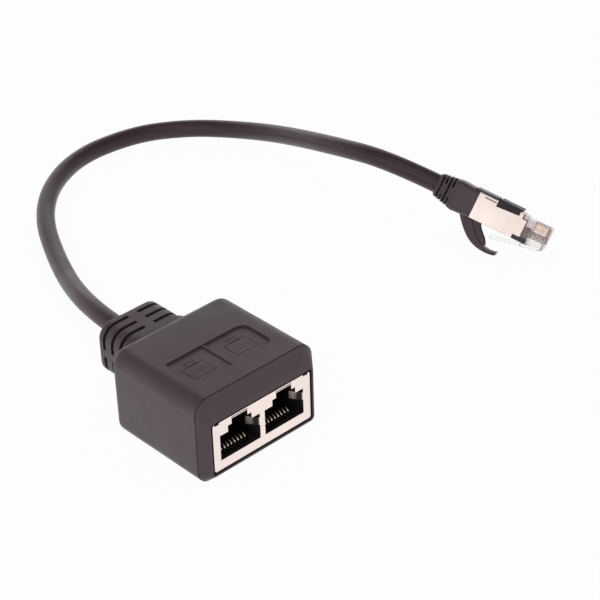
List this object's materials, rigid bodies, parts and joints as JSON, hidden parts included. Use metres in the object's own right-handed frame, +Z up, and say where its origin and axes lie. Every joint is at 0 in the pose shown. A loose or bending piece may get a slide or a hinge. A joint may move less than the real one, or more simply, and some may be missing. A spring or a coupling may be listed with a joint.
{
  "type": "rj45 splitter adapter",
  "caption": "Network splitter adapter: black moulded housing with two shielded sockets side by side, on a short round cord that ends in a shielded plug with a lever boot.",
  "frame": {"origin": "on the surface, under the middle of the housing with its strain relief", "axes": "+Z up, the sockets face -Y, the cord leaves towards +Y, and the longest side of the housing with its strain relief runs along Y"},
  "size_m": [0.1333, 0.1422, 0.0233],
  "materials": {
    "black_pvc": "satin black moulded soft PVC",
    "cord_jacket": "satin black extruded PVC jacket",
    "nickel_sheet": "bright nickel-plated sheet",
    "black_insert": "black glass-filled insert",
    "inner_plastic": "natural inner moulding",
    "board": "green circuit board",
    "gold_plate": "gold-plated spring metal",
    "clear_plastic": "clear moulded plastic",
    "wire_pale": "pale striped wire sleeve",
    "wire_orange": "orange wire sleeve",
    "wire_green": "green wire sleeve",
    "wire_blue": "blue wire sleeve",
    "wire_brown": "brown wire sleeve"
  },
  "bodies": {
    "root": {"blade_1": "gold_plate", "blade_2": "gold_plate", "blade_3": "gold_plate", "blade_4": "gold_plate", "blade_5": "gold_plate", "blade_6": "gold_plate", "blade_7": "gold_plate", "blade_8": "gold_plate", "circuit_board": "board", "conductor_1": "wire_pale", "conductor_2": "wire_orange", "conductor_3": "wire_pale", "conductor_4": "wire_blue", "conductor_5": "wire_pale", "conductor_6": "wire_green", "conductor_7": "wire_pale", "conductor_8": "wire_brown", "contact_1_1": "gold_plate", "contact_1_2": "gold_plate", "contact_1_3": "gold_plate", "contact_1_4": "gold_plate", "contact_1_5": "gold_plate", "contact_1_6": "gold_plate", "contact_1_7": "gold_plate", "contact_1_8": "gold_plate", "contact_2_1": "gold_plate", "contact_2_2": "gold_plate", "contact_2_3": "gold_plate", "contact_2_4": "gold_plate", "contact_2_5": "gold_plate", "contact_2_6": "gold_plate", "contact_2_7": "gold_plate", "contact_2_8": "gold_plate", "cord": "cord_jacket", "housing": "black_pvc", "inner_mould": "inner_plastic", "jack_insert": "black_insert", "jack_shield": "nickel_sheet", "jacket_end": "cord_jacket", "load_bar": "black_insert", "plug_body": "clear_plastic", "plug_boot": "black_pvc", "plug_saddle": "black_pvc", "plug_shield": "nickel_sheet", "plug_wire_1": "wire_pale", "plug_wire_2": "wire_orange", "plug_wire_3": "wire_pale", "plug_wire_4": "wire_blue", "plug_wire_5": "wire_pale", "plug_wire_6": "wire_green", "plug_wire_7": "wire_pale", "plug_wire_8": "wire_brown"}
  },
  "joints": []
}
